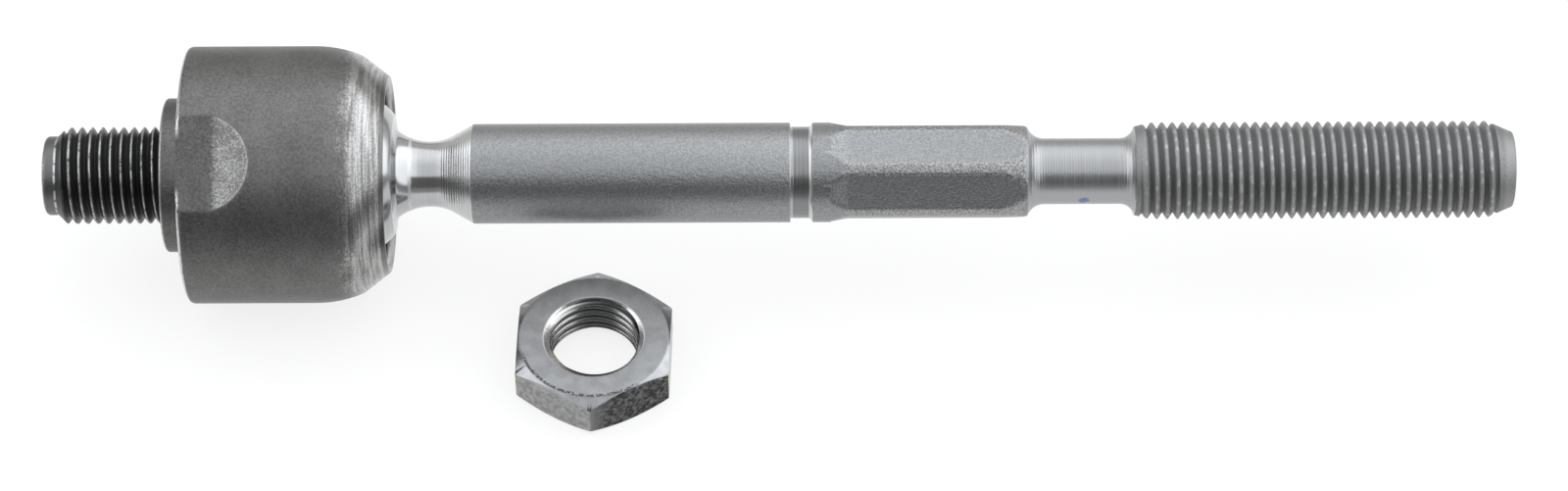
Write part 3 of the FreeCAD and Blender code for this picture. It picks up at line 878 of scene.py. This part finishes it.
def make_nut(plating):
    """Thin hexagon nut, chamfered on both faces, with its thread and countersinks."""
    corner_turn = math.radians(30)
    half_across = (NUT_HIGH.x - NUT_LOW.x) / 2 * math.cos(corner_turn)
    half_across /= math.cos(corner_turn + NUT_TURN)
    corner_r = half_across / math.cos(corner_turn)
    height = NUT_HIGH.z - NUT_LOW.z
    face_r, sink = half_across * NUT_FACE_SHARE, 0.68
    sink_r = CREST_R + sink / 2
    chamfer_angle = math.radians(30)
    rise = math.tan(chamfer_angle)
    drop = (corner_r - face_r) * rise
    inner_r = CREST_R + 0.05
    sink_slope = (BORE_R - sink_r) / sink
    start = (inner_r - sink_r) / sink_slope

    outline = Profile(start, inner_r, 0)
    outline.to(0.0, sink_r)
    outline.to(0.0, face_r)
    outline.to(drop, corner_r, slide=rise)
    outline.to(height - drop, corner_r, slide=-rise)
    outline.to(height, face_r)
    outline.to(height, sink_r)
    outline.to(height - start, inner_r)
    outline.soften(0.12)

    values = {
        "Segments": NUT_SEGMENTS,
        "Flats": 6,
        "Flat turn": NUT_TURN,
        "Thread start": start,
        "Thread end": height - start,
        "Start radius": inner_r,
        "Start slope": sink_slope,
        "End radius": inner_r,
        "End slope": sink_slope,
        "Crest radius": BORE_R,
        "Root radius": CREST_R,
        "Start fade": 0.01,
        "End fade": 0.01,
        "Phase": 0.0,
        "Thread finish": 0,
        "Inside": True,
        "Turn": (0.0, -math.pi / 2, 0.0),
        "Place": (
            (NUT_LOW.x + NUT_HIGH.x) / 2 * MM,
            (NUT_LOW.y + NUT_HIGH.y) / 2 * MM,
            NUT_LOW.z * MM,
        ),
    }
    source = outline.source("nut_outline", lambda along: half_across)
    make_piece("lock_nut", source, values, (plating,), "housing")


# Stage

def lay_floor():
    """White paper that keeps the shadow, shows in the metal and fades to grey past the picture."""
    middle_x, middle_y, half_width, half_depth, fade = 90.0, 52.0, 134.0, 98.0, 35.0
    white, far_grey, gap_below = 0.8, 0.1, 0.02
    place = (middle_x * MM, 0, (FLOOR_Z - gap_below) * MM)
    bpy.ops.mesh.primitive_plane_add(size=8, location=place)
    floor = bpy.context.object
    floor.name = "floor"
    made = bpy.data.materials.new("white_floor")
    made.use_nodes = True
    tree = made.node_tree
    shader = tree.nodes["Principled BSDF"]
    shader.inputs["Base Color"].default_value = (0.2, 0.2, 0.2, 1)
    shader.inputs["Roughness"].default_value = 1.0
    shader.inputs["Specular IOR Level"].default_value = 0.0
    _, across, deep, _ = place_in_mm(tree)
    beyond = across.do("ABSOLUTE") - half_width
    beyond = beyond.high((deep - middle_y).do("ABSOLUTE") - half_depth)
    paper = ramp(tree, beyond, 0.0, fade, white, far_grey)
    paths = tree.nodes.new("ShaderNodeLightPath")
    seen = Number(tree, paths.outputs["Is Camera Ray"])
    for label in ("Is Glossy Ray", "Is Transmission Ray"):
        seen = seen.high(Number(tree, paths.outputs[label]))
    shader.inputs["Emission Color"].default_value = (1, 1, 1, 1)
    feed(tree, shader.inputs["Emission Strength"], seen * paper)
    floor.data.materials.append(made)


def light_studio():
    """A long softbox overhead, brighter at both ends, a grey wall behind and a dim room in front."""
    world = bpy.data.worlds.new("studio")
    bpy.context.scene.world = world
    world.use_nodes = True
    tree = world.node_tree
    across, back, up = parts_of(tree, add(tree, "ShaderNodeTexCoord", out=0))
    turn = up.do("ARCTAN2", back * -1.0)
    front_edge = [math.radians(degrees) for degrees in (38, 44)]
    rear_edge = [math.radians(degrees) for degrees in (152, 142)]
    rear_lean, shift = math.radians(12), 0.07
    box = ramp(tree, turn, *front_edge) * ramp(tree, turn - across * rear_lean, *rear_edge)
    aside = (across + shift).do("ABSOLUTE")
    side_box = ramp(tree, aside, 0.6, 0.78) * ramp(tree, up, 0.03, 0.2)
    box = box.high(side_box * ramp(tree, back, 0.65, 0.35))
    ends = ramp(tree, aside, 0.25, 0.7)
    dim_front, grey_rear, box_level, end_gain = 0.17, 0.7, 0.9, 0.8
    room = ramp(tree, back, -0.3, 0.5, dim_front, grey_rear)
    strength = room + box * (ends * end_gain + box_level)
    feed(tree, tree.nodes["Background"].inputs["Strength"], strength)
    warm, cool = (1.0, 0.995, 0.97), (0.955, 0.975, 1.0)
    colour = tint(tree, box, warm, cool)
    feed(tree, tree.nodes["Background"].inputs["Color"], colour)


def place_camera():
    """The photograph's view: from in front and above, a little rolled, with a long lens."""
    elevation, roll = math.radians(51), math.radians(0.26)
    distance = 740 * MM
    target = Vector((89.1, -8.2, -6.64)) * MM
    data = bpy.data.cameras.new("camera")
    data.sensor_width = 36
    data.lens = 117.6
    data.clip_start, data.clip_end = 0.01, 20
    back = Vector((0, -math.cos(elevation), math.sin(elevation)))
    above = Vector((0, math.sin(elevation), math.cos(elevation)))
    right = Vector((1, 0, 0)) * math.cos(roll) - above * math.sin(roll)
    camera = bpy.data.objects.new("camera", data)
    turn = Matrix((right, back.cross(right), back)).transposed().to_4x4()
    camera.matrix_world = Matrix.Translation(target + back * distance) @ turn
    bpy.context.scene.collection.objects.link(camera)
    bpy.context.scene.camera = camera


TURNED_PIECE = turned_piece_tree()
make_socket(phosphated_forging(), dark_thread())
make_rod(
    polished_neck(),
    blasted_steel(),
    groove_steel(),
    undercut_steel(),
    rolled_thread(),
)
make_nut(bright_plating())
seat = frame["nodes"]["ball_seat"]
seat.data.materials.clear()
seat.data.materials.append(bearing_plastic())

lay_floor()
light_studio()
place_camera()
bpy.context.scene.view_settings.view_transform = "Standard"
